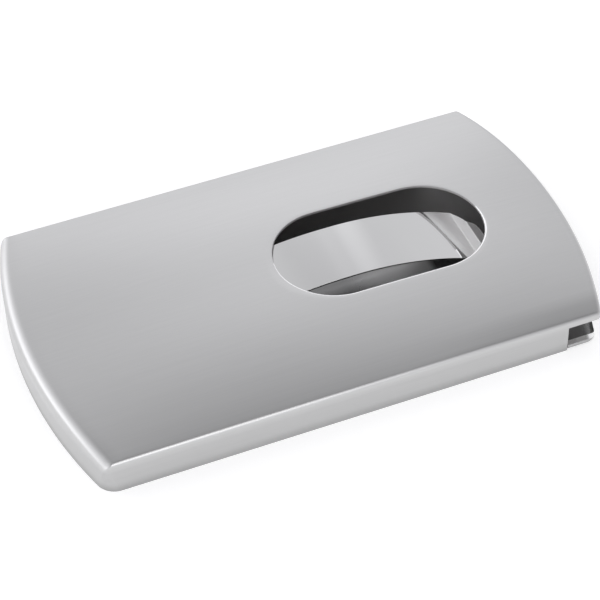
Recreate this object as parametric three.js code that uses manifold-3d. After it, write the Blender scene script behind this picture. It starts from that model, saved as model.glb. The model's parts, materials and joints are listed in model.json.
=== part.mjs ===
// A thumb-slide business card case pressed from stainless steel sheet.
// Millimetres, +Z up. X runs along the case: the closed end is at -X, the open mouth at +X.
// The origin is on the surface the case rests on, below the middle of the case.
import * as THREE from "three";
import { mergeVertices } from "three/addons/utils/BufferGeometryUtils.js";
import Module from "manifold-3d";

// ---- driving dimensions ----
const CASE_LENGTH = 98; // over the crowns of both bowed ends
const CASE_WIDTH = 58;
const END_BOW = 4.9; // how far each end arc stands proud of its corners
const EDGE_HEIGHT = 6.65; // top of the long sides above the rest plane
const CROWN = 2.55; // extra height of the cover in the middle of the case
const CROWN_POWER = 3; // 2 would be a round crown, more is flatter in the middle
const CROWN_FADE = 0.5; // share of the crown lost at the two ends
const SHEET = 0.5; // steel sheet of the cover and the tray
const GAP = 0.3; // clearance between neighbouring pieces
const CLEAR = 3; // how far a cutter runs past what it cuts

const CLOSED_CORNER = 4.2; // plan radius of the corners at the closed end
const MOUTH_CORNER = 1.5; // plan radius of the cover's corners at the mouth
const FOLD = 0.9; // outer radius of the cover's fold from top to wall
const LIP_WIDTH = 1.2; // the cover's edge at the mouth curls down over this width
const LIP_DROP = 0.5;
const COVER_SKIRT = 0.4; // height of the cover's lower edge above the rest plane

const SLOT_LENGTH = 38.6; // thumb slot, an obround hole through the cover
const SLOT_WIDTH = 21.1;
const SLOT_X = 15.9; // its centre

const NOTCH_X = 38; // the side walls stop here, short of the mouth
const NOTCH_TOP = 5.5; // the cover's fold runs on above this height
const NOTCH_BOTTOM = 1.3; // the tray's fold runs on below this height

const TRAY_HEIGHT = 4.6;
const TRAY_FOLD = 0.9; // outer radius of the tray's fold from floor to wall
const TRAY_SETBACK = 0.6; // the tray's mouth edge lies this far inside the cover's
const TRAY_MOUTH_CORNER = 2.4;

const LEAF_WIDTH = 12.8; // polished leaf spring
const LEAF_SHEET = 0.3;
const LEAF_CREST = 8.95; // its mid-plane at the top, where the leaf rises into the thumb slot
const FOOT_START = -42;
const ROOT_PIVOT = [-31, SHEET + GAP + LEAF_SHEET / 2]; // x, z where the arm flexes off its foot
const CREST_PIVOT = [8, LEAF_CREST]; // x, z where the nose flexes off the arm
const ARM_SLOPE = THREE.MathUtils.degToRad(13.8);
const ARM_BEND = 44; // radius into the crest
const NOSE_BEND_X = 9; // the nose starts to curve down here
const NOSE_BEND = 55;
const NOSE_SLOPE = THREE.MathUtils.degToRad(24.5);
const NOSE_CREASE_X = 32.2; // a press-brake line across the nose
const TIP_SLOPE = THREE.MathUtils.degToRad(41.7);
const TIP_CREASE_X = 35.3;
const TIP_END_X = 36.8;
const TIP_CORNER = 3.2;

// ---- the plan outline: straight sides, bowed ends, rounded corners ----
const halfLength = CASE_LENGTH / 2;
const halfWidth = CASE_WIDTH / 2;
const endRadius = (halfWidth ** 2 + END_BOW ** 2) / (2 * END_BOW);

// An outline inset by d from the outer one. The end arcs stay concentric.
function outline(d, closedCorner, mouthCorner, setback = 0) {
  return {
    halfWidth: halfWidth - d,
    closed: { centre: endRadius - halfLength, radius: endRadius - d, corner: closedCorner },
    mouth: { centre: halfLength - endRadius, radius: endRadius - setback, corner: mouthCorner },
  };
}

// How far an end reaches beyond its arc's centre at the width y.
function endReach(end, halfWidth, y) {
  const { radius, corner } = end;
  const cornerY = halfWidth - corner;
  const cornerX = Math.sqrt((radius - corner) ** 2 - cornerY ** 2);
  const joinY = (cornerY * radius) / (radius - corner);
  const side = Math.min(Math.abs(y), halfWidth);
  if (side <= joinY) return Math.sqrt(radius ** 2 - side ** 2);
  return cornerX + Math.sqrt(Math.max(corner ** 2 - (side - cornerY) ** 2, 0));
}

const closedX = (plan, y) => plan.closed.centre - endReach(plan.closed, plan.halfWidth, y);
const mouthX = (plan, y) => plan.mouth.centre + endReach(plan.mouth, plan.halfWidth, y);

// Distance from the sides and the closed end, measured inwards.
function edgeDistance(plan, x, y) {
  const { centre, radius, corner } = plan.closed;
  const cornerY = plan.halfWidth - corner;
  const cornerX = centre - Math.sqrt((radius - corner) ** 2 - cornerY ** 2);
  const toSide = plan.halfWidth - Math.abs(y);
  const toEnd = radius - Math.hypot(x - centre, y);
  if (x < cornerX && Math.abs(y) > cornerY) {
    return corner - Math.hypot(x - cornerX, Math.abs(y) - cornerY);
  }
  return Math.min(toSide, toEnd);
}

// How much a fold of this radius has dropped the sheet at a distance from its edge.
function foldDrop(radius, distance) {
  const inside = Math.min(Math.max(radius - distance, 0), radius);
  return radius - Math.sqrt(radius ** 2 - inside ** 2);
}

// The shallow pillow of the cover's outer face.
function crownHeight(x, y) {
  const across = 1 - Math.abs(y / halfWidth) ** CROWN_POWER;
  const along = 1 - CROWN_FADE * (x / halfLength) ** 2;
  return EDGE_HEIGHT + CROWN * Math.max(across, 0) * along;
}

// ---- solids ----
const wasm = await Module();
wasm.setup();

function toSolid(geometry) {
  const bare = geometry.clone();
  bare.deleteAttribute("normal");
  bare.deleteAttribute("uv");
  const merged = mergeVertices(bare, 1e-4);
  const vertProperties = new Float32Array(merged.attributes.position.array);
  const triVerts = new Uint32Array(merged.index.array);
  return new wasm.Manifold(new wasm.Mesh({ numProp: 3, vertProperties, triVerts }));
}

function toGeometry(solid) {
  const mesh = solid.getMesh();
  const geometry = new THREE.BufferGeometry();
  geometry.setAttribute("position", new THREE.BufferAttribute(mesh.vertProperties, 3));
  geometry.setIndex(new THREE.BufferAttribute(mesh.triVerts, 1));
  geometry.computeVertexNormals();
  return geometry;
}

// Positions from edge to edge, close together where the sheet is folded.
function spacing(low, high, insets, middle) {
  const first = insets.map((d) => low + d);
  const last = insets.map((d) => high - d).reverse();
  const from = first[first.length - 1];
  const step = (last[0] - from) / (middle + 1);
  const between = Array.from({ length: middle }, (_, i) => from + step * (i + 1));
  return [...first, ...between, ...last];
}

const FOLD_STEPS = [0, 0.12, 0.45, 0.95, 1.6, 2.9, 4.4];
const ROWS = 9;
const COLUMNS = 9;

// A solid over a plan outline, its bottom and top given by height functions. It starts as a
// box whose rows follow the sides and whose columns follow the two ends.
function block(plan, bottom, top, beyondMouth = 0) {
  const ys = spacing(-plan.halfWidth, plan.halfWidth, FOLD_STEPS, ROWS);
  const columns = 2 * FOLD_STEPS.length + COLUMNS;
  const box = new THREE.BoxGeometry(2, 2, 2, columns - 1, ys.length - 1, 1);
  const position = box.attributes.position;
  for (let i = 0; i < position.count; i++) {
    const row = Math.round(((position.getY(i) + 1) / 2) * (ys.length - 1));
    const column = Math.round(((position.getX(i) + 1) / 2) * (columns - 1));
    const y = ys[row];
    const end = mouthX(plan, y) + beyondMouth;
    const x = spacing(closedX(plan, y), end, FOLD_STEPS, COLUMNS)[column];
    const height = position.getZ(i) > 0 ? top : bottom;
    position.setXYZ(i, x, y, height(x, y));
  }
  return toSolid(box);
}

function boxSolid(low, high) {
  const size = high.map((v, i) => v - low[i]);
  const box = new THREE.BoxGeometry(...size);
  box.translate(...low.map((v, i) => v + size[i] / 2));
  return toSolid(box);
}

function obround(length, width) {
  const radius = width / 2;
  const run = length / 2 - radius;
  const shape = new THREE.Shape();
  shape.absarc(run, 0, radius, -Math.PI / 2, Math.PI / 2, false);
  shape.absarc(-run, 0, radius, Math.PI / 2, (3 * Math.PI) / 2, false);
  return shape;
}

const outerPlan = outline(0, CLOSED_CORNER, MOUTH_CORNER);

// ---- cover: pillowed top, side walls, closed end wall, thumb slot, notched mouth ----
function coverTop(plan, depth) {
  return (x, y) => {
    const toMouth = Math.max(mouthX(outerPlan, y) - x, 0);
    const lip = LIP_DROP * Math.max(1 - toMouth / LIP_WIDTH, 0) ** 2;
    return crownHeight(x, y) - depth - foldDrop(FOLD - depth, edgeDistance(plan, x, y)) - lip;
  };
}

function makeCover() {
  const innerPlan = outline(SHEET, CLOSED_CORNER - SHEET, MOUTH_CORNER);
  const shell = block(outerPlan, () => COVER_SKIRT, coverTop(outerPlan, 0));
  const hollow = block(innerPlan, () => -CLEAR, coverTop(innerPlan, SHEET), CLEAR);
  const options = { depth: CROWN + CLEAR, bevelEnabled: false, curveSegments: 16 };
  const slot = new THREE.ExtrudeGeometry(obround(SLOT_LENGTH, SLOT_WIDTH), options);
  slot.translate(SLOT_X, 0, EDGE_HEIGHT);
  const notch = boxSolid([NOTCH_X, -CASE_WIDTH, -CLEAR], [CASE_LENGTH, CASE_WIDTH, NOTCH_TOP]);
  return toGeometry(shell.subtract(hollow).subtract(toSolid(slot)).subtract(notch));
}

// ---- base tray: floor and low walls, nested inside the cover ----
function makeTray() {
  const inset = SHEET + GAP;
  const outer = outline(inset, CLOSED_CORNER - inset, TRAY_MOUTH_CORNER, TRAY_SETBACK);
  const inner = outline(inset + SHEET, CLOSED_CORNER - inset - SHEET, TRAY_MOUTH_CORNER);
  const under = (x, y) => foldDrop(TRAY_FOLD, edgeDistance(outer, x, y));
  const floor = (x, y) => SHEET + foldDrop(TRAY_FOLD - SHEET, edgeDistance(inner, x, y));
  const body = block(outer, under, () => TRAY_HEIGHT);
  const hollow = block(inner, floor, () => TRAY_HEIGHT + CLEAR, CLEAR);
  const notchLow = [NOTCH_X, -CASE_WIDTH, NOTCH_BOTTOM];
  const notch = boxSolid(notchLow, [CASE_LENGTH, CASE_WIDTH, TRAY_HEIGHT + CLEAR]);
  return toGeometry(body.subtract(hollow).subtract(notch));
}

// ---- leaf spring: a bowed strip, in three stretches that flex at two places ----
// A strip that follows a path in the X-Z plane, centred on the case's middle plane.
function strip(path, divisions) {
  const apart = (p, i, all) => i === 0 || p.distanceTo(all[i - 1]) > 1e-3;
  const points = path.getPoints(divisions).filter(apart);
  const side = (offset) =>
    points.map((p, i) => {
      const before = points[Math.max(i - 1, 0)];
      const after = points[Math.min(i + 1, points.length - 1)];
      const along = after.clone().sub(before).normalize();
      return new THREE.Vector2(p.x - along.y * offset, p.y + along.x * offset);
    });
  const shape = new THREE.Shape([...side(-LEAF_SHEET / 2), ...side(LEAF_SHEET / 2).reverse()]);
  const geometry = new THREE.ExtrudeGeometry(shape, { depth: LEAF_WIDTH, bevelEnabled: false });
  geometry.rotateX(Math.PI / 2);
  geometry.translate(0, LEAF_WIDTH / 2, 0);
  return geometry;
}

function makeFoot() {
  const path = new THREE.Path();
  path.moveTo(FOOT_START, ROOT_PIVOT[1]);
  path.lineTo(ROOT_PIVOT[0] - GAP / 2, ROOT_PIVOT[1]);
  return strip(path, 1);
}

function makeArm() {
  const [rootX, rootZ] = ROOT_PIVOT;
  const startX = rootX + GAP / 2;
  const rise = LEAF_CREST - rootZ - ARM_BEND * (1 - Math.cos(ARM_SLOPE));
  const bendX = startX + rise / Math.tan(ARM_SLOPE);
  const centreX = bendX + ARM_BEND * Math.sin(ARM_SLOPE);
  const quarter = Math.PI / 2;
  const path = new THREE.Path();
  path.moveTo(startX, rootZ);
  path.lineTo(bendX, rootZ + rise);
  path.absarc(centreX, LEAF_CREST - ARM_BEND, ARM_BEND, quarter + ARM_SLOPE, quarter, true);
  path.lineTo(CREST_PIVOT[0] - GAP / 2, LEAF_CREST);
  return strip(path, 8);
}

function makeNose() {
  const quarter = Math.PI / 2;
  const bendEndX = NOSE_BEND_X + NOSE_BEND * Math.sin(NOSE_SLOPE);
  const bendEndZ = LEAF_CREST - NOSE_BEND * (1 - Math.cos(NOSE_SLOPE));
  const creaseZ = bendEndZ - (NOSE_CREASE_X - bendEndX) * Math.tan(NOSE_SLOPE);
  const tipZ = creaseZ - (TIP_CREASE_X - NOSE_CREASE_X) * Math.tan(TIP_SLOPE);
  const path = new THREE.Path();
  path.moveTo(CREST_PIVOT[0] + GAP / 2, LEAF_CREST);
  path.lineTo(NOSE_BEND_X, LEAF_CREST);
  path.absarc(NOSE_BEND_X, LEAF_CREST - NOSE_BEND, NOSE_BEND, quarter, quarter - NOSE_SLOPE, true);
  path.lineTo(NOSE_CREASE_X, creaseZ);
  path.lineTo(TIP_CREASE_X, tipZ);
  path.lineTo(TIP_END_X, tipZ);
  return toGeometry(toSolid(strip(path, 12)).intersect(roundedTip()));
}

// The plan shape that rounds the two corners of the leaf's tip.
function roundedTip() {
  const half = LEAF_WIDTH / 2 + 1e-3;
  const shape = new THREE.Shape();
  shape.moveTo(0, -half);
  shape.lineTo(TIP_END_X - TIP_CORNER, -half);
  shape.absarc(TIP_END_X - TIP_CORNER, TIP_CORNER - half, TIP_CORNER, -Math.PI / 2, 0, false);
  shape.absarc(TIP_END_X - TIP_CORNER, half - TIP_CORNER, TIP_CORNER, 0, Math.PI / 2, false);
  shape.lineTo(0, half);
  const options = { depth: CASE_LENGTH, bevelEnabled: false, curveSegments: 6 };
  return toSolid(new THREE.ExtrudeGeometry(shape, options));
}

// ---- the assembly ----
const brushedSteel = { color: 0xb9babb, roughness: 0.36, metalness: 1 };
const innerSteel = { color: 0x8f8f90, roughness: 0.22, metalness: 1 };
const mirrorSteel = { color: 0xd8d9da, roughness: 0.05, metalness: 1 };

function piece(name, geometry, finish) {
  const mesh = new THREE.Mesh(geometry, new THREE.MeshStandardMaterial(finish));
  mesh.name = name;
  return mesh;
}

const cardCase = new THREE.Group();
const leafSpring = new THREE.Group();
leafSpring.add(piece("leaf_foot", makeFoot(), mirrorSteel));
leafSpring.add(piece("leaf_arm", makeArm(), mirrorSteel));
leafSpring.add(piece("leaf_nose", makeNose(), mirrorSteel));
cardCase.add(piece("cover", makeCover(), brushedSteel));
cardCase.add(piece("base_tray", makeTray(), innerSteel));
cardCase.add(leafSpring);

export default cardCase;
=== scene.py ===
# %% [markdown]
# # A brushed steel business card case
# The case is three pressings of stainless steel sheet: a pillowed cover with a thumb slot, a tray
# nested inside it, and a polished leaf spring that pushes the cards up against the cover.
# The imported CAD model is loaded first. It says where everything is and how the spring moves, so
# the sizes below are read from it wherever it has them. All lengths are in metres.

# %% Load the frame
import json
import math

import bmesh
import bpy
from mathutils import Matrix, Vector


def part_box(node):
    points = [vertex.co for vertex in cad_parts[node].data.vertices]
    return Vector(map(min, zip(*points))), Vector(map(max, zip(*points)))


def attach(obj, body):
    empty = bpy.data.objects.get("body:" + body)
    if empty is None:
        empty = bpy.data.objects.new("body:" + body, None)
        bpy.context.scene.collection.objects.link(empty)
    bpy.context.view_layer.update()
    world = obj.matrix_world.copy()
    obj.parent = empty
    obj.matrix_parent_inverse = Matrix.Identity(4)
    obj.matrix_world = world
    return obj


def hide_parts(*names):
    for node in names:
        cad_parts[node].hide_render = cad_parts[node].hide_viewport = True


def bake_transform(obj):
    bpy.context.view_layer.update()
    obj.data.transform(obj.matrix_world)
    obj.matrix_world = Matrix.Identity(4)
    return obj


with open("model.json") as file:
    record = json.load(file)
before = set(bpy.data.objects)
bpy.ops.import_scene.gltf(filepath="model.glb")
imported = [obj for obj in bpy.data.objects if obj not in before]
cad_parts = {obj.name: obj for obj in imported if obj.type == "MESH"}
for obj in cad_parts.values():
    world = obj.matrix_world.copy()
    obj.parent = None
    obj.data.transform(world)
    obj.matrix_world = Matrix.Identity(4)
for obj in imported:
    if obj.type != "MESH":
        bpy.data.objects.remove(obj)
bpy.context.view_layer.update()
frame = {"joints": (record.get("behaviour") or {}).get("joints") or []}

MM = 0.001
cover_low, cover_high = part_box("cover")
tray_low, tray_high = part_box("base_tray")
nose_low, nose_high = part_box("leaf_nose")
foot_low, foot_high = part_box("leaf_foot")
joints = {joint["name"]: joint for joint in frame["joints"]}
root_pivot = Vector(joints["leaf_root_flex"]["pos_m"])
crest_pivot = Vector(joints["leaf_crest_flex"]["pos_m"])

# %% [markdown]
# ## Camera, floor and light
# The camera stands high over the front left of the case with a long lens, so the sides hardly
# converge. Its direction is given as an azimuth and an elevation, which is easier to read than a
# rotation, and a small roll. Steel has almost no colour of its own: it shows its surroundings.
# So the light is planned as something to be reflected. Low down the sky is bright and even, and
# it darkens towards the zenith, which draws the cover's pillow as a slow change from light to
# dark. One tall softbox in front gives the long fold its highlight.

# %% Camera
def direction(azimuth, elevation):
    """From the case outwards: azimuth 0 is the front, -Y, and 90 the mouth, +X."""
    a, e = math.radians(azimuth), math.radians(elevation)
    return Vector((math.sin(a) * math.cos(e), -math.cos(a) * math.cos(e), math.sin(e)))


def place_camera(target, azimuth, elevation, roll, distance, lens):
    back = direction(azimuth, elevation)
    level = Vector((0, 0, 1)).cross(back).normalized()
    r = math.radians(roll)
    right = math.cos(r) * level + math.sin(r) * back.cross(level)
    camera = bpy.data.objects.new("camera", bpy.data.cameras.new("camera"))
    camera.data.lens = lens
    camera.data.clip_start = 0.01
    camera.matrix_world = Matrix((right, back.cross(right), back)).transposed().to_4x4()
    camera.location = Vector(target) + distance * back
    bpy.context.scene.collection.objects.link(camera)
    bpy.context.scene.camera = camera
    return camera


camera = place_camera(
    target=(0.83 * MM, 0.15 * MM, 0), azimuth=-21.1, elevation=44.9, roll=-1.39,
    distance=0.3913, lens=134.6,
)
print("camera at", [round(v, 3) for v in camera.location])

# %% [markdown]
# Materials, sky and shapes are all node trees. Placing and wiring nodes one by one hides what is
# being computed, so a small wrapper stands for a value in a tree: its operators add Math nodes,
# and a formula can be written as a formula.

# %% Node maths
class Field:
    """A value in a node tree. The operators on it add Math nodes."""

    def __init__(self, tree, socket):
        self.tree, self.socket = tree, socket

    def __add__(self, other):
        return self.tree.math("ADD", self, other)

    def __radd__(self, other):
        return self.tree.math("ADD", other, self)

    def __sub__(self, other):
        return self.tree.math("SUBTRACT", self, other)

    def __rsub__(self, other):
        return self.tree.math("SUBTRACT", other, self)

    def __mul__(self, other):
        return self.tree.math("MULTIPLY", self, other)

    def __rmul__(self, other):
        return self.tree.math("MULTIPLY", other, self)

    def __truediv__(self, other):
        return self.tree.math("DIVIDE", self, other)

    def __pow__(self, other):
        return self.tree.math("POWER", self, other)

    def __abs__(self):
        return self.tree.math("ABSOLUTE", self)

    def at_least(self, other):
        return self.tree.math("MAXIMUM", self, other)

    def at_most(self, other):
        return self.tree.math("MINIMUM", self, other)

    def root(self):
        return self.tree.math("SQRT", self)

    def fade(self, start, end):
        """0 at start, 1 at end, smooth between."""
        settings = {"interpolation_type": "SMOOTHSTEP"}
        return self.tree.node("ShaderNodeMapRange", settings, self, start, end, 0.0, 1.0)


class Tree:
    """A node tree that is filled one node at a time."""

    def __init__(self, owner):
        owner.use_nodes = True
        self.nodes, self.links = owner.node_tree.nodes, owner.node_tree.links
        self.nodes.clear()

    def feed(self, socket, value):
        if isinstance(value, Field):
            self.links.new(value.socket, socket)
        elif value is not None:
            socket.default_value = value

    def node(self, kind, settings=None, *values, out=0, **named):
        """Adds a node: its settings first, then its inputs, each a value or a link."""
        made = self.nodes.new(kind)
        for key, value in (settings or {}).items():
            setattr(made, key, value)
        for socket, value in zip(made.inputs, values):
            self.feed(socket, value)
        for name, value in named.items():
            self.feed(made.inputs[name.replace("_", " ")], value)
        return Field(self, made.outputs[out]) if len(made.outputs) else None

    def math(self, operation, *values):
        return self.node("ShaderNodeMath", {"operation": operation}, *values)

    def parts(self, vector):
        """The X, Y and Z of a vector."""
        return [self.node("ShaderNodeSeparateXYZ", None, vector, out=i) for i in range(3)]

    def ramp(self, share, stops):
        """Colours along a share from 0 to 1."""
        made = self.nodes.new("ShaderNodeValToRGB")
        self.feed(made.inputs[0], share)
        while len(made.color_ramp.elements) < len(stops):
            made.color_ramp.elements.new(1.0)
        for element, (position, colour) in zip(made.color_ramp.elements, stops):
            element.position = position
            element.color = colour
        return Field(self, made.outputs[0])

    def mix(self, share, first, second):
        made = self.nodes.new("ShaderNodeMix")
        made.data_type = "RGBA"
        for index, value in ((0, share), (6, first), (7, second)):
            self.feed(made.inputs[index], value)
        return Field(self, made.outputs[2])


def grey(value, cool=0.0, warm=0.0):
    """An opaque grey, with a little more blue or a little more red."""
    return (value * (1 + warm), value, value * (1 + cool), 1.0)


# %% [markdown]
# The sky is two rules multiplied. The first goes by height: bright up to the height of the
# camera's own mirror image, then quickly darker. The second goes round the horizon: a brighter
# panel behind the case, a strip above it, shade behind the mouth, and a glow at the back left for
# the closed end.

# %% Sky
# Degrees above the horizon, and how bright the sky is there.
SKY_LIGHT = ((0, 1.16), (38, 1.10), (46, 0.95), (54, 0.75),
             (62, 0.66), (70, 0.51), (78, 0.34), (90, 0.25))
SKY_COOL = 0.022
SKY_LEVEL = 0.98
PANEL_GAIN = 0.50
STRIP_GAIN = 0.45
SHADE_LOSS = 0.16
GLOW_GAIN = 0.90


def window(angle, centre, inner, outer):
    """1 within inner degrees of the centre, 0 beyond outer degrees."""
    return 1 - abs(angle - centre).fade(inner, outer)


def make_sky():
    world = bpy.data.worlds.new("studio")
    bpy.context.scene.world = world
    tree = Tree(world)
    x, y, z = tree.parts(tree.node("ShaderNodeTexCoord"))
    height = z.at_least(0.0)
    stops = [(math.sin(math.radians(up)), grey(light, SKY_COOL)) for up, light in SKY_LIGHT]
    colour = tree.ramp(height, stops)
    turn = tree.math("ARCTAN2", x, y) * (180 / math.pi)
    up = tree.math("ARCSINE", height) * (180 / math.pi)
    panel = window(turn, 20, 4, 14) * window(up, 36, 2, 13)
    strip = window(turn, 41, 3, 11) * window(up, 63, 3, 11)
    shade = turn.fade(28, 40) * (1 - up.fade(44, 56)) + 2 * turn.fade(44, 50) * up.fade(52, 60)
    glow = (1 - up.fade(8, 40)) * window(turn, -47, 12, 50)
    level = SKY_LEVEL + PANEL_GAIN * panel + STRIP_GAIN * strip - SHADE_LOSS * shade + GLOW_GAIN * glow
    light = tree.node("ShaderNodeBackground", None, colour, level)
    tree.node("ShaderNodeOutputWorld", None, light)
    return world


def add_softbox(name, azimuth, elevation, distance, size, radiance):
    """A rectangular light aimed at the case. Its power follows from how bright it looks."""
    away = direction(azimuth, elevation)
    box = bpy.data.objects.new(name, bpy.data.lights.new(name, "AREA"))
    box.data.shape = "RECTANGLE"
    box.data.size, box.data.size_y = size
    box.data.energy = radiance * math.pi * size[0] * size[1]
    box.location = distance * away
    box.rotation_euler = away.to_track_quat("Z", "Y").to_euler()
    box.visible_camera = False
    bpy.context.scene.collection.objects.link(box)
    return box


make_sky()
add_softbox("softbox_front", 8, 42, 0.9, (0.28, 0.42), 2.1)
bpy.context.scene.view_settings.view_transform = "Standard"

# %% [markdown]
# The floor is plain white paper. A little emission keeps it white round the case, and leaves the
# soft contact shadow that seats the case on it.

# %% Floor
def make_floor(size):
    mesh = bpy.data.meshes.new("floor")
    corners = [(x * size, y * size, 0) for x, y in ((-1, -1), (1, -1), (1, 1), (-1, 1))]
    mesh.from_pydata(corners, [], [(0, 1, 2, 3)])
    floor = bpy.data.objects.new("floor", mesh)
    bpy.context.scene.collection.objects.link(floor)
    paper = bpy.data.materials.new("pale_paper")
    tree = Tree(paper)
    skin = tree.node("ShaderNodeBsdfPrincipled", None, grey(0.80), 0.0, 0.8,
                     Emission_Color=grey(1.0), Emission_Strength=0.42)
    tree.node("ShaderNodeOutputMaterial", None, skin)
    mesh.materials.append(paper)
    return floor


make_floor(3.0)

# %% [markdown]
# ## Finishes
# Five finishes make the whole case. Outside, the steel is brushed along its length: a rotary
# brush leaves fine parallel scratches, which stretch every reflection across them. The stretch
# comes from the shader's anisotropy, and the scratches themselves from noise drawn out along X.
# Under the cover the steel keeps the satin finish of the rolled sheet. The leaf spring is mirror
# polished, and the cut edges of the sheet are bright and slightly rounded.
#
# Steel this smooth shows a room that is not modelled. Part of that is painted in here as changes of
# tone, on the walls, the cover's front edge, the tray's inside and the leaf. It is a shortcut:
# the tones are tuned for the main view, and from other sides they are only patches.

# %% Steel finishes
def scratches(tree, across, along, detail=2.0):
    """Noise drawn out along X: across and along are scratches per metre."""
    place = tree.node("ShaderNodeTexCoord", None, out=3)
    squeezed = tree.node("ShaderNodeMapping", None, place, Scale=(along, across, 0.6 * across))
    return tree.node("ShaderNodeTexNoise", None, squeezed, Scale=1.0, Detail=detail, Roughness=0.6)


def brushed_steel():
    """Darker low on the walls and along the front edge near the mouth. That is not wear: it stands
    in for dark reflections that this sky does not give, and it is tuned for the main view."""
    material = bpy.data.materials.new("brushed_steel")
    tree = Tree(material)
    fine = scratches(tree, 7000, 60)
    coarse = scratches(tree, 1500, 18)
    x, y, z = tree.parts(tree.node("ShaderNodeTexCoord", None, out=3))
    tone = 0.38 + 0.13 * z.fade(0.0, 2.4 * MM) + 0.04 * z.fade(4.5 * MM, 6.0 * MM)
    front_shade = (0 - y).fade(23 * MM, 27.5 * MM) * x.fade(8 * MM, 44 * MM) * z.fade(6.3 * MM, 6.9 * MM)
    colour = tone - 0.12 * front_shade + 0.08 * (0.6 * fine + 0.4 * coarse - 0.5)
    roughness = 0.28 + 0.06 * coarse
    bump = tree.node("ShaderNodeBump", None, Strength=0.05, Distance=0.02 * MM,
                     Height=fine + 0.5 * coarse)
    skin = tree.node("ShaderNodeBsdfPrincipled", None, colour, 1.0, roughness,
                     Anisotropic=0.75, Anisotropic_Rotation=0.25, Normal=bump)
    tree.node("ShaderNodeOutputMaterial", None, skin)
    return material


def plain_steel(name, dark, light, low, high, across, along, bump_strength):
    """Steel with a faint grain along X. dark, light: its tones. low, high: its roughness."""
    material = bpy.data.materials.new(name)
    tree = Tree(material)
    grain = scratches(tree, across, along)
    cloud = tree.node("ShaderNodeTexNoise", None, tree.node("ShaderNodeTexCoord", None, out=3),
                      Scale=120.0, Detail=3.0)
    colour = tree.mix(grain, dark, light)
    roughness = low + (high - low) * (0.5 * grain + 0.5 * cloud)
    bump = tree.node("ShaderNodeBump", None, Strength=bump_strength, Distance=0.01 * MM, Height=grain)
    skin = tree.node("ShaderNodeBsdfPrincipled", None, colour, 1.0, roughness, Normal=bump)
    tree.node("ShaderNodeOutputMaterial", None, skin)
    return material


def tray_inside():
    """Satin steel in patches of tone. They are not wear: they stand in for what lies reflected
    under the leaf and at the notch, and they are tuned for the main view."""
    material = bpy.data.materials.new("tray_inside")
    tree = Tree(material)
    x, y, z = tree.parts(tree.node("ShaderNodeTexCoord", None, out=3))
    grain = scratches(tree, 900, 25)
    back = y.fade(4 * MM, 10 * MM)
    patch = x.fade(9 * MM, 21 * MM) * (1 - x.fade(24.5 * MM, 26.5 * MM)) * (1 - back)
    colour = 0.20 + 0.6 * patch + 0.45 * back * (1 - x.fade(30 * MM, 40 * MM))
    roughness = 0.16 + 0.14 * grain + 0.25 * patch
    skin = tree.node("ShaderNodeBsdfPrincipled", None, colour, 1.0, roughness)
    tree.node("ShaderNodeOutputMaterial", None, skin)
    return material


def polished_spring():
    """A mirror. Its darker colour over the crest is painted shade, and the satin nose is rougher
    and much lighter in colour, a painted reflection. Both even out what the main view sees
    reflected, and the slanted edge of the satin part is set for that view too."""
    material = bpy.data.materials.new("polished_spring")
    tree = Tree(material)
    grain = scratches(tree, 2500, 30)
    x, y, z = tree.parts(tree.node("ShaderNodeTexCoord", None, out=3))
    nose = (x + 0.22 * y).fade(28.0 * MM, 28.8 * MM)
    # Painted shade over the crest, and a painted reflection in the light colour of the nose.
    crest = tree.mix(abs(x - 8 * MM).fade(1 * MM, 13 * MM), grey(0.46), grey(0.61))
    colour = tree.mix(nose, crest, grey(0.94))
    roughness = 0.03 + 0.03 * grain + 0.36 * nose
    skin = tree.node("ShaderNodeBsdfPrincipled", None, colour, 1.0, roughness)
    tree.node("ShaderNodeOutputMaterial", None, skin)
    return material


finishes = {
    "brushed": brushed_steel(),
    "inside": tray_inside(),
    "rolled": plain_steel("rolled_steel", grey(0.55, 0, 0.02), grey(0.63, 0, 0.02), 0.5, 0.6,
                          3000, 40, 0.1),
    "mirror": polished_spring(),
    "cut": plain_steel("cut_edge", grey(0.80), grey(0.90), 0.16, 0.28, 5000, 400, 0.1),
}
print("finishes", sorted(finishes))

# %% [markdown]
# ## The plan outline
# The cover and the tray share one plan: two straight sides, two bowed ends and four rounded
# corners. It is walked once round as a list of stations. Every ring of vertices is such a walk
# with its own width, length and corner radius, always with the same number of stations, so the
# rings line up and the mesh flows round the case without a seam.

# %% Outline
END_BOW = 4.9 * MM
EDGE_HEIGHT = 6.65 * MM
SHEET = 0.5 * MM
NOTCH_X = 38 * MM
NOTCH_STEP = 0.15 * MM
NOTCH_TOP = 5.45 * MM
NOTCH_BOTTOM = 1.3 * MM
QUARTER = math.pi / 2
half_length = (cover_high.x - cover_low.x) / 2
half_width = (cover_high.y - cover_low.y) / 2
bow_radius = (half_width ** 2 + END_BOW ** 2) / (2 * END_BOW)


class Station:
    """A point on a walk, and how far it belongs to the closed end and to the mouth, 0 to 1."""

    def __init__(self, x, y, closed=0.0, mouth=0.0):
        self.x, self.y, self.closed, self.mouth = x, y, closed, mouth


def smooth(t):
    t = min(max(t, 0.0), 1.0)
    return t * t * (3 - 2 * t)


def sweep_arc(centre, radius, start, end, steps, closed=(0, 0), mouth=(0, 0)):
    """Stations round an arc, its last point left out. closed, mouth: their values at both ends."""
    made = []
    for i in range(steps):
        share = smooth(i / steps)
        a = start + (end - start) * i / steps
        place = (centre[0] + radius * math.cos(a), centre[1] + radius * math.sin(a))
        blend = [pair[0] + (pair[1] - pair[0]) * share for pair in (closed, mouth)]
        made.append(Station(*place, *blend))
    return made


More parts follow.
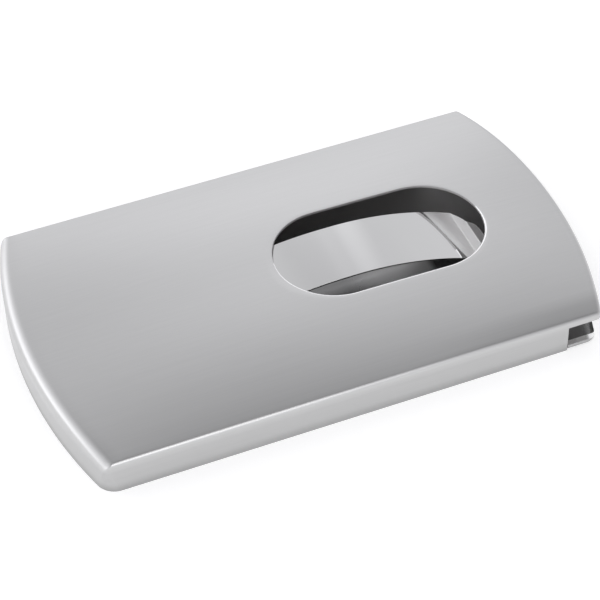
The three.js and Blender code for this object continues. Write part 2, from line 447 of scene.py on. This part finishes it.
def walk_outline(side, closed_end, mouth_end, closed_corner, mouth_corner):
    """side: half width. closed_end, mouth_end: reach of each end arc on the middle line."""
    def corner_place(corner, end):
        dy = side - corner
        return end - bow_radius + math.sqrt((bow_radius - corner) ** 2 - dy ** 2), dy

    mouth_x, mouth_y = corner_place(mouth_corner, mouth_end)
    closed_x, closed_y = corner_place(closed_corner, closed_end)
    mouth_arc, closed_arc = mouth_end - bow_radius, closed_end - bow_radius
    mouth_turn = math.atan2(mouth_y, mouth_x - mouth_arc)
    closed_turn = math.atan2(closed_y, closed_x - closed_arc)
    before, after = 50, 6
    start = NOTCH_X + NOTCH_STEP
    xs = [-closed_x + (NOTCH_X + closed_x) * i / before for i in range(before + 1)]
    xs += [start + (mouth_x - start) * i / after for i in range(after + 1)]
    front = [Station(x, -side) for x in xs[:-1]]
    back = [Station(x, side) for x in reversed(xs[1:])]
    ends = math.pi - closed_turn, math.pi + closed_turn
    return (
        front
        + sweep_arc((mouth_x, -mouth_y), mouth_corner, -QUARTER, -mouth_turn, 10, mouth=(0, 1))
        + sweep_arc((mouth_arc, 0), bow_radius, -mouth_turn, mouth_turn, 64, mouth=(1, 1))
        + sweep_arc((mouth_x, mouth_y), mouth_corner, mouth_turn, QUARTER, 10, mouth=(1, 0))
        + back
        + sweep_arc((-closed_x, closed_y), closed_corner, QUARTER, ends[0], 14, closed=(0, 1))
        + sweep_arc((-closed_arc, 0), bow_radius, ends[0], ends[1], 64, closed=(1, 1))
        + sweep_arc((-closed_x, -closed_y), closed_corner, ends[1], 3 * QUARTER, 14, closed=(1, 0))
    )


def before_notch(walk, s):
    """Whether the side of the walk from station s on is wall, not notch or mouth."""
    ends = (walk[s], walk[(s + 1) % len(walk)])
    return all(e.mouth == 0 and e.x < NOTCH_X + NOTCH_STEP / 2 for e in ends)


# %% [markdown]
# ## Turning rings into a sheet
# A pressing is sheet of one thickness. Solidify would guess the inner skin from the normals and
# makes spikes where a corner is tight, so both skins are drawn: the same rings, once on the outer
# face and once one sheet further in. The quads that the notches cut away are left out, and
# wherever a skin has an open edge, a strip joins it to the other. Bevel then rounds those cut
# edges a little: without that, a metal edge catches no light.

# %% Sheet tools
def new_piece(name, vertices, faces, materials, finish=()):
    mesh = bpy.data.meshes.new(name)
    mesh.from_pydata(vertices, [], faces)
    for material in materials:
        mesh.materials.append(material)
    if finish:
        mesh.polygons.foreach_set("material_index", finish)
    piece = bpy.data.objects.new(name, mesh)
    bpy.context.scene.collection.objects.link(piece)
    return piece


def ring_faces(ring_count, count, keep):
    """Quads between neighbouring rings of count points, where keep(ring, station) is true."""
    faces = []
    for r in range(ring_count - 1):
        for s in range(count):
            if keep(r, s):
                t = (s + 1) % count
                faces.append((r * count + s, (r + 1) * count + s, (r + 1) * count + t, r * count + t))
    return faces


def double_skin(outer, inner, faces):
    """Points and faces of a closed sheet, and each face's material: outside, inside or cut edge."""
    shift = len(outer)
    edges = {(a, b) for f in faces for a, b in zip(f, f[1:] + f[:1])}
    open_edges = sorted((a, b) for a, b in edges if (b, a) not in edges)
    inside = [tuple(i + shift for i in reversed(f)) for f in faces]
    cut = [(b, a, a + shift, b + shift) for a, b in open_edges]
    finish = [0] * len(faces) + [1] * len(inside) + [2] * len(cut)
    return outer + inner, faces + inside + cut, finish


def clean(piece, merge=0.002 * MM):
    """Closes seams, drops loose points and shades the faces smooth."""
    shape = bmesh.new()
    shape.from_mesh(piece.data)
    bmesh.ops.remove_doubles(shape, verts=shape.verts, dist=merge)
    loose = [v for v in shape.verts if not v.link_faces]
    bmesh.ops.delete(shape, geom=loose, context="VERTS")
    for face in shape.faces:
        face.smooth = True
    shape.to_mesh(piece.data)
    shape.free()
    return piece


def evaluated_mesh(source):
    """The plain mesh that an object's modifiers make, which are then dropped."""
    graph = bpy.context.evaluated_depsgraph_get()
    made = bpy.data.meshes.new_from_object(source.evaluated_get(graph))
    source.modifiers.clear()
    return made


def use_mesh(piece, mesh):
    old = piece.data
    piece.data = mesh
    bpy.data.meshes.remove(old)
    mesh.name = piece.name
    return piece


def round_edges(piece, width, material=-1):
    bevel = piece.modifiers.new("cut_edge", "BEVEL")
    bevel.width = width
    bevel.segments = 3
    bevel.limit_method = "ANGLE"
    bevel.angle_limit = math.radians(50)
    bevel.use_clamp_overlap = True
    bevel.material = material
    bevel.harden_normals = True
    return use_mesh(piece, evaluated_mesh(piece))


def report_piece(piece):
    mesh = piece.data
    mesh.calc_loop_triangles()
    print(piece.name, len(mesh.loop_triangles), "triangles")


# %% [markdown]
# ## The cover
# The cover is drawn as flat rings first: from the rim of the thumb slot out to the fold, round
# the fold and down the wall. The fold is tight along the sides and the mouth, and wider at the
# closed end. Its corner starts sharp on top and opens into a round one at the bottom, as when
# sheet is drawn over a block. A cylinder cut by a boolean would leave long thin triangles round
# the slot, and polished metal shows every one of them, so the slot's rounded rim is the first few
# rings. One ring runs level with the top of the notches, so that they can be left out below it.

# %% Cover rings
SLOT_CENTRE = Vector((15.9 * MM, 0.45 * MM))
SLOT_LENGTH = 38.3 * MM
SLOT_WIDTH = 21.2 * MM
SIDE_FOLD = 0.7 * MM
END_FOLD = 2.1 * MM
RIM_ROUND = 0.34 * MM
BACK_RIM = 0.3
TOP_CORNER = 0.4 * MM
FOLD_CORNER = 1.4 * MM
CLOSED_CORNER = 3.6 * MM
CLOSED_BULGE = 0.25 * MM
MOUTH_CORNER = 1.2 * MM
SKIRT = 0.12 * MM


def slot_side(station):
    """The end of the slot's middle line nearest a station, and the way out from there."""
    run = (SLOT_LENGTH - SLOT_WIDTH) / 2
    place = Vector((station.x, station.y)) - SLOT_CENTRE
    middle = Vector((min(max(place.x, -run), run), 0))
    return middle, (place - middle).normalized()


def near_side(station):
    """1 on the front of the slot, 0 on the back. It makes the front rim wider, and picks where the
    rim takes the bright cut finish as a painted highlight. That is set for the main view, and a
    real rim may well be the same all round."""
    return 1 - smooth(0.5 + 1.2 * slot_side(station)[1].y)


def slot_point(station, turn, depth):
    """The point of the slot's rounded rim that looks out at a station: turn is 0 on top."""
    middle, out = slot_side(station)
    round_off = RIM_ROUND * (BACK_RIM + (1 - BACK_RIM) * near_side(station))
    rim = SLOT_CENTRE + middle + out * (SLOT_WIDTH / 2 + round_off * (1 - math.sin(turn)))
    drop = round_off * (1 - math.cos(turn)) if depth == 0 else depth
    return Vector((rim.x, rim.y, EDGE_HEIGHT - drop))


def cover_walk(turn, drop, depth):
    """turn: angle round the fold. drop: 0 to 1 down the wall. depth: into the sheet."""
    side_in, end_in = (fold - (fold - depth) * math.sin(turn) for fold in (SIDE_FOLD, END_FOLD))
    corner = TOP_CORNER + (FOLD_CORNER - TOP_CORNER) * turn / QUARTER
    corner += (CLOSED_CORNER - FOLD_CORNER) * drop
    mouth_corner = TOP_CORNER + (MOUTH_CORNER - TOP_CORNER) * turn / QUARTER
    least = 0.2 * MM
    return walk_outline(half_width - side_in, half_length + CLOSED_BULGE - end_in, half_length - side_in,
                        max(corner - depth, least), max(mouth_corner - depth, least))


def cover_ring(turn, drop, depth):
    ring = []
    for s in cover_walk(turn, drop, depth):
        fold = SIDE_FOLD + (END_FOLD - SIDE_FOLD) * s.closed
        z = EDGE_HEIGHT - fold + (fold - depth) * math.cos(turn)
        ring.append(Vector((s.x, s.y, z + (SKIRT - z) * drop)))
    return ring


RIM_STEPS = 5
FLAT_STEPS = 28
FOLD_STEPS = 9
WALL_STEPS = 6
# Past this share of near_side, the slot's rim takes the bright cut finish as a painted highlight.
PAINTED_HIGHLIGHT_FROM = 0.3


def cover_rings(depth):
    top, walk = cover_ring(0.0, 0.0, depth), cover_walk(0.0, 0.0, depth)
    turns = [QUARTER * (1 - i / RIM_STEPS) for i in range(RIM_STEPS + 1)]
    rings = [[slot_point(s, turn, depth) for s in walk] for turn in turns]
    shares = [i / FLAT_STEPS for i in range(1, FLAT_STEPS + 1)]
    rings += [[a.lerp(b, share) for a, b in zip(rings[RIM_STEPS], top)] for share in shares]
    rings += [cover_ring(QUARTER * i / FOLD_STEPS, 0.0, depth) for i in range(1, FOLD_STEPS + 1)]
    wall_top = EDGE_HEIGHT - SIDE_FOLD
    notch_drop = (wall_top - NOTCH_TOP) / (wall_top - SKIRT)
    drops = [notch_drop] + [i / WALL_STEPS for i in range(1, WALL_STEPS + 1)]
    return rings + [cover_ring(QUARTER, drop, depth) for drop in drops]


def make_cover_sheet():
    walk = cover_walk(0.0, 0.0, 0.0)
    outer, inner = cover_rings(0.0), cover_rings(SHEET)
    notch_ring = len(outer) - WALL_STEPS - 1

    def keep(ring, s):
        return ring < notch_ring or before_notch(walk, s)

    faces = ring_faces(len(outer), len(walk), keep)
    points, faces, finish = double_skin(sum(outer, []), sum(inner, []), faces)
    # The slot's rim and its cut wall take the bright cut finish on the front side, a painted
    # highlight, and plain sheet on the other.
    painted_highlight_side = [near_side(s) > PAINTED_HIGHLIGHT_FROM for s in walk]
    for index, face in enumerate(faces):
        if min(face) < RIM_STEPS * len(walk):
            bright = painted_highlight_side[min(face) % len(walk)]
            finish[index] = 2 if bright else max(finish[index] - 1, 0)
    skins = [finishes["brushed"], finishes["rolled"], finishes["cut"]]
    return clean(new_piece("cover_sheet", points, faces, skins, finish))


cover = make_cover_sheet()
report_piece(cover)

# %% [markdown]
# The press then pillows the flat top. The rule is short: a rise that is greatest in the middle,
# falls to nothing at the sides and fades a little towards the ends. A Geometry Nodes tree applies
# it, so its height and fullness are inputs that can be tried out. The walls are weighted by their
# height, so their lower edges stay level.

# %% Pillow press
CROWN_POWER = 3.0
CROWN_FADE = 0.5


class Press(Tree):
    """A Geometry Nodes tree with named inputs."""

    def __init__(self, name, inputs):
        self.group = bpy.data.node_groups.new(name, "GeometryNodeTree")
        self.nodes, self.links = self.group.nodes, self.group.links
        face = self.group.interface
        face.new_socket("Geometry", in_out="INPUT", socket_type="NodeSocketGeometry")
        face.new_socket("Geometry", in_out="OUTPUT", socket_type="NodeSocketGeometry")
        self.identifiers = {}
        for label, kind in inputs.items():
            socket = face.new_socket(label, in_out="INPUT", socket_type=kind)
            self.identifiers[label] = socket.identifier
        self.inlet = self.nodes.new("NodeGroupInput")

    def given(self, label):
        return Field(self, self.inlet.outputs[label])

    def position(self):
        return self.parts(self.node("GeometryNodeInputPosition"))

    def finish(self, geometry, material=None):
        real = self.node("GeometryNodeRealizeInstances", None, geometry)
        if material is not None:
            real = self.node("GeometryNodeSetMaterial", None, real, Material=material)
        self.node("NodeGroupOutput", None, real)
        return self

    def make(self, source, values):
        """The mesh this tree makes of a source object."""
        modifier = source.modifiers.new(self.group.name, "NODES")
        modifier.node_group = self.group
        for label, value in values.items():
            modifier[self.identifiers[label]] = value
        return evaluated_mesh(source)


def pillow_press():
    number = "NodeSocketFloat"
    tree = Press("pillow_press", {label: number for label in (
        "Crown", "Power", "Fade", "Half length", "Half width", "Wall low", "Wall high")})
    x, y, z = tree.position()
    across = 1 - (abs(y) / tree.given("Half width")).at_most(1.0) ** tree.given("Power")
    reach = x / tree.given("Half length")
    along = 1 - tree.given("Fade") * reach * reach
    low, high = tree.given("Wall low"), tree.given("Wall high")
    weight = ((z - low) / (high - low)).at_least(0.0).at_most(1.0)
    rise = tree.given("Crown") * across * along * weight
    lift = tree.node("ShaderNodeCombineXYZ", None, 0.0, 0.0, rise)
    return tree.finish(tree.node("GeometryNodeSetPosition", None, tree.given("Geometry"), Offset=lift))


use_mesh(cover, pillow_press().make(cover, {
    "Crown": cover_high.z - EDGE_HEIGHT, "Power": CROWN_POWER, "Fade": CROWN_FADE,
    "Half length": half_length, "Half width": half_width,
    "Wall low": SKIRT, "Wall high": EDGE_HEIGHT - END_FOLD,
}))


# %% Cover edges and grain
def lay_grain(piece, far=50.0):
    """Points the shader's tangents along X. With nothing plugged into Tangent, Cycles turns them
    round the middle of the mesh's texture space, so that middle is put far off to the side."""
    piece.data.use_auto_texspace = False
    piece.data.texspace_location = (0, far, 0)
    piece.data.texspace_size = (1, 1, 1)


CUT_ROUND = 0.08 * MM

round_edges(cover, CUT_ROUND, material=2)
lay_grain(cover)
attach(cover, "case_body")
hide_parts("cover")
report_piece(cover)

# %% [markdown]
# ## The base tray
# The tray is a shallow pan that fits tightly inside the cover. Its floor is flat, its walls stand
# on a small fold, and at the mouth the walls stop at the same notch as the cover's. From there a
# low lip runs on to each corner. It is twice as thick, like a hem, so it lies flush with the
# cover's wall. The tray is made of rings in the same way, filled with one flat face.

# %% Tray
TRAY_FOLD = 0.9 * MM
TRAY_CORNER = 2.2 * MM
TRAY_CLEARANCE = 0.04 * MM
MOUTH_CURL = 0.12 * MM
TRAY_FOLD_STEPS = 8
TRAY_WALL_STEPS = 5


def tray_walk(turn, depth):
    inset = SHEET + TRAY_CLEARANCE
    fold_in = TRAY_FOLD - (TRAY_FOLD - depth) * math.sin(turn)
    lip_in = TRAY_FOLD * (1 - turn / QUARTER)
    walk = walk_outline(half_width - inset - fold_in, half_length - inset - fold_in,
                        tray_high.x - lip_in, CLOSED_CORNER - inset - fold_in, TRAY_CORNER - fold_in)
    if depth == 0:
        for s in walk:
            hem = inset * (1 - s.mouth) if s.x > NOTCH_X + NOTCH_STEP / 2 else 0.0
            s.y += math.copysign(hem, s.y)
    return walk


def tray_ring(turn, height, depth):
    """height: of a ring on the wall, or None on the fold."""
    side_z = TRAY_FOLD - (TRAY_FOLD - depth) * math.cos(turn) if height is None else height
    lip_z = MOUTH_CURL * (turn / QUARTER) ** 2 + depth
    return [Vector((s.x, s.y, side_z + (lip_z - side_z) * s.mouth)) for s in tray_walk(turn, depth)]


def tray_rings(depth):
    steps = TRAY_FOLD_STEPS
    rings = [tray_ring(QUARTER * i / steps, None, depth) for i in range(steps + 1)]
    rings.append(tray_ring(QUARTER, NOTCH_BOTTOM, depth))
    for step in range(1, TRAY_WALL_STEPS + 1):
        height = NOTCH_BOTTOM + (tray_high.z - NOTCH_BOTTOM) * step / TRAY_WALL_STEPS
        rings.append(tray_ring(QUARTER, height, depth))
    return rings


def make_tray():
    walk = tray_walk(QUARTER, 0.0)
    count = len(walk)
    outer, inner = tray_rings(0.0), tray_rings(SHEET)

    def keep(ring, s):
        return ring <= TRAY_FOLD_STEPS or before_notch(walk, s)

    walls = [tuple(reversed(f)) for f in ring_faces(len(outer), count, keep)]
    floor_face = tuple(reversed(range(count)))
    points, faces, finish = double_skin(sum(outer, []), sum(inner, []), walls + [floor_face])
    skins = [finishes["brushed"], finishes["inside"], finishes["cut"]]
    pan = clean(new_piece("tray_sheet", points, faces, skins, finish))
    return round_edges(pan, 0.1 * MM, material=2)


tray = make_tray()
lay_grain(tray)
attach(tray, "case_body")
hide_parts("base_tray")
report_piece(tray)

# %% [markdown]
# ## The leaf spring
# The leaf is one strip of mirror-polished spring steel, bowed like a bridge: a flat foot fixed to
# the tray, a straight arm, a crest that rises into the slot, and a nose that curves down, creased
# twice, to slide on the floor. A strip follows a path, so Geometry Nodes lay a grid along a curve.
# It is cut in two where the cover hides it, so that each part spans one joint only: the rear the
# one at the foot, the front the one at the crest.

# %% Leaf path
LEAF_SHEET = foot_high.z - foot_low.z
LEAF_WIDTH = foot_high.y - foot_low.y
CUT_X = -6 * MM
ARM_SLOPE = math.radians(15.5)
ARM_BEND = 67 * MM
NOSE_BEND_X = 9 * MM
NOSE_BEND = 55 * MM
NOSE_SLOPE = math.radians(24.9)
NOSE_CREASE_X = 32.2 * MM
TIP_SLOPE = math.radians(41.7)
TIP_CREASE_X = 35.3 * MM
TIP_CORNER = 3.2 * MM


def arc_points(centre, radius, start, end, steps):
    turn = [start + (end - start) * i / steps for i in range(steps + 1)]
    return [(centre[0] + radius * math.cos(a), centre[1] + radius * math.sin(a)) for a in turn]


def leaf_path():
    """The strip's middle plane as points in X and Z, from the foot to the tip."""
    crest_z = crest_pivot.z
    rise = crest_z - root_pivot.z - ARM_BEND * (1 - math.cos(ARM_SLOPE))
    bend_x = root_pivot.x + rise / math.tan(ARM_SLOPE)
    arm_centre = (bend_x + ARM_BEND * math.sin(ARM_SLOPE), crest_z - ARM_BEND)
    arm = arc_points(arm_centre, ARM_BEND, QUARTER + ARM_SLOPE, QUARTER, 40)
    nose_centre = (NOSE_BEND_X, crest_z - NOSE_BEND)
    nose = arc_points(nose_centre, NOSE_BEND, QUARTER, QUARTER - NOSE_SLOPE, 60)
    crease_z = nose[-1][1] - (NOSE_CREASE_X - nose[-1][0]) * math.tan(NOSE_SLOPE)
    tip_z = crease_z - (TIP_CREASE_X - NOSE_CREASE_X) * math.tan(TIP_SLOPE)
    foot = [(foot_low.x, root_pivot.z), (root_pivot.x, root_pivot.z)]
    return foot + arm + nose + [(NOSE_CREASE_X, crease_z), (TIP_CREASE_X, tip_z), (nose_high.x, tip_z)]


def path_curve(name, points):
    curve = bpy.data.curves.new(name, "CURVE")
    curve.dimensions = "3D"
    line = curve.splines.new("POLY")
    line.points.add(len(points) - 1)
    for point, (x, z) in zip(line.points, points):
        point.co = (x, 0, z, 1)
    made = bpy.data.objects.new(name, curve)
    bpy.context.scene.collection.objects.link(made)
    return made


# %% Leaf strip
def strip_roller():
    tree = Press("strip_roller", {
        "Width": "NodeSocketFloat", "Corner": "NodeSocketFloat", "Along": "NodeSocketInt",
        "Across": "NodeSocketInt", "Material": "NodeSocketMaterial"})
    grid = tree.node("GeometryNodeMeshGrid", None, 1.0, 1.0, tree.given("Along"), tree.given("Across"))
    x, y, z = tree.position()
    along, side = x + 0.5, y * 2.0
    curve = tree.given("Geometry")
    length = tree.node("GeometryNodeCurveLength", None, curve)
    sample = tree.node("GeometryNodeSampleCurve", {"mode": "FACTOR"}, Curves=curve, Factor=along, out=1)
    corner = tree.given("Corner")
    short = (corner - (1 - along) * length).at_least(0.0)
    pulled = corner - (corner * corner - short * short).at_least(0.0).root()
    reach = side * (tree.given("Width") / 2.0 - pulled)
    offset = tree.node("ShaderNodeCombineXYZ", None, 0.0, reach, 0.0)
    target = tree.node("ShaderNodeVectorMath", {"operation": "ADD"}, sample, offset)
    moved = tree.node("GeometryNodeSetPosition", None, grid, Position=target)
    even = tree.node("GeometryNodeSetShadeSmooth", None, moved)
    return tree.finish(even, tree.given("Material"))


def make_strip(name, points, corner, along, roller):
    path = path_curve(name + "_path", points)
    strip = new_piece(name, [], [], [])
    use_mesh(strip, roller.make(path, {
        "Width": LEAF_WIDTH, "Corner": corner, "Along": along, "Across": 25,
        "Material": finishes["mirror"]}))
    bpy.data.objects.remove(path)
    solid = strip.modifiers.new("sheet", "SOLIDIFY")
    solid.thickness = LEAF_SHEET
    solid.offset = 0.0
    return round_edges(strip, 0.05 * MM)


path = leaf_path()
rear_points = [p for p in path if p[0] <= CUT_X]
front_points = rear_points[-1:] + path[len(rear_points):]
roller = strip_roller()
leaf_rear = make_strip("leaf_rear", rear_points, 0.0, 120, roller)
leaf_front = make_strip("leaf_front", front_points, TIP_CORNER, 260, roller)
report_piece(leaf_rear)
report_piece(leaf_front)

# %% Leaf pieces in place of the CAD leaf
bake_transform(leaf_rear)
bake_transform(leaf_front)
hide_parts("leaf_foot", "leaf_arm")
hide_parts("leaf_nose")
